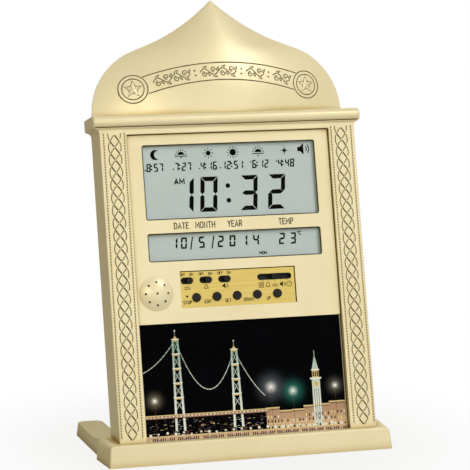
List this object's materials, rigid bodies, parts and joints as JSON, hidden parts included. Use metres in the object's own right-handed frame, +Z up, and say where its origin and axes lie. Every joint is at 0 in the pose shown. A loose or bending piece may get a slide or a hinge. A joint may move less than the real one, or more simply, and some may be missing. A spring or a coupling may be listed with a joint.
{
  "type": "azan table clock",
  "caption": "Digital azan table clock: onion-domed case leaning back on a U-shaped stand, with LCD windows, push buttons, slide switches, a speaker dome and a picture window.",
  "frame": {"origin": "on the table surface, under the middle of the stand's footprint", "axes": "+Z up, +X to the viewer's right, the display faces -Y and leans back towards +Y"},
  "size_m": [0.2044, 0.106, 0.3034],
  "materials": {
    "gold_case": "champagne-gold lacquer on moulded plastic, satin",
    "gold_cover": "champagne-gold moulded plastic, fine texture",
    "gold_label": "thin gold-coloured metal plate, satin",
    "lens": "clear acrylic sheet",
    "picture_glass": "clear acrylic sheet",
    "lcd": "grey-green reflective LCD glass",
    "diffuser": "milky acrylic",
    "elastomer": "pink and black striped elastomer",
    "circuit_board": "green solder mask on epoxy glass",
    "flat_cable": "grey flat cable",
    "chip": "black epoxy",
    "can": "tinned can",
    "thermistor": "dipped epoxy bead",
    "black_plastic": "black moulded plastic, fine grain",
    "speaker_steel": "pressed steel",
    "magnet": "ferrite in a steel cup",
    "paper_cone": "black paper",
    "picture_print": "printed card under the window",
    "cell": "plain wrapped AA cell",
    "contact": "nickel-plated spring steel",
    "screw": "zinc-plated steel",
    "pad": "black rubber"
  },
  "bodies": {
    "clock_body": {"case_surround": "gold_case", "front_panel": "gold_case", "stand_base": "gold_case", "rear_cover": "gold_cover", "control_label": "gold_label", "display_lens": "lens", "picture_window": "picture_glass", "main_lcd": "lcd", "date_lcd": "lcd", "main_light_guide": "diffuser", "date_light_guide": "diffuser", "main_zebra_strip": "elastomer", "date_zebra_strip": "elastomer", "main_board": "circuit_board", "key_board": "circuit_board", "board_link": "flat_cable", "clock_chip": "chip", "quartz_crystal": "can", "temperature_sensor": "thermistor", "key_switches": "black_plastic", "slide_switch_bodies": "black_plastic", "mode_switch_body": "black_plastic", "dc_inlet": "black_plastic", "speaker_frame": "speaker_steel", "speaker_magnet": "magnet", "speaker_cone": "paper_cone", "picture_card": "picture_print", "battery_cell_1": "cell", "battery_cell_2": "cell", "battery_springs": "contact", "battery_contacts": "contact", "case_screws": "screw", "panel_screws": "screw", "board_screws": "screw", "key_board_screws": "screw", "stand_screws": "screw", "rubber_pads": "pad"},
    "button_1_body": {"button_1": "black_plastic"},
    "button_2_body": {"button_2": "black_plastic"},
    "button_3_body": {"button_3": "black_plastic"},
    "button_4_body": {"button_4": "black_plastic"},
    "button_5_body": {"button_5": "black_plastic"},
    "switch_1_slider": {"switch_knob_1": "black_plastic"},
    "switch_2_slider": {"switch_knob_2": "black_plastic"},
    "switch_3_slider": {"switch_knob_3": "black_plastic"},
    "mode_slider": {"mode_knob": "black_plastic"},
    "battery_hatch": {"battery_door": "gold_cover"}
  },
  "joints": [
    {"name": "button_1_press", "type": "slide", "parent": "clock_body", "child": "button_1_body", "axis": [0, 0.9703, -0.2419], "range_m": [0, 0.0006], "stiffness_N_per_m": 400, "springref_m": -0.0012},
    {"name": "button_2_press", "type": "slide", "parent": "clock_body", "child": "button_2_body", "axis": [0, 0.9703, -0.2419], "range_m": [0, 0.0006], "stiffness_N_per_m": 400, "springref_m": -0.0012},
    {"name": "button_3_press", "type": "slide", "parent": "clock_body", "child": "button_3_body", "axis": [0, 0.9703, -0.2419], "range_m": [0, 0.0006], "stiffness_N_per_m": 400, "springref_m": -0.0012},
    {"name": "button_4_press", "type": "slide", "parent": "clock_body", "child": "button_4_body", "axis": [0, 0.9703, -0.2419], "range_m": [0, 0.0006], "stiffness_N_per_m": 400, "springref_m": -0.0012},
    {"name": "button_5_press", "type": "slide", "parent": "clock_body", "child": "button_5_body", "axis": [0, 0.9703, -0.2419], "range_m": [0, 0.0006], "stiffness_N_per_m": 400, "springref_m": -0.0012},
    {"name": "switch_1_slide", "type": "slide", "parent": "clock_body", "child": "switch_1_slider", "axis": [1, 0, 0], "range_m": [-0.004, 0]},
    {"name": "switch_2_slide", "type": "slide", "parent": "clock_body", "child": "switch_2_slider", "axis": [1, 0, 0], "range_m": [-0.004, 0]},
    {"name": "switch_3_slide", "type": "slide", "parent": "clock_body", "child": "switch_3_slider", "axis": [1, 0, 0], "range_m": [-0.004, 0]},
    {"name": "mode_slide", "type": "slide", "parent": "clock_body", "child": "mode_slider", "axis": [1, 0, 0], "range_m": [-0.0098, 0.0098]},
    {"name": "battery_door_slide", "type": "slide", "parent": "clock_body", "child": "battery_hatch", "axis": [0, -0.2419, -0.9703], "range_m": [0, 0.012]}
  ]
}
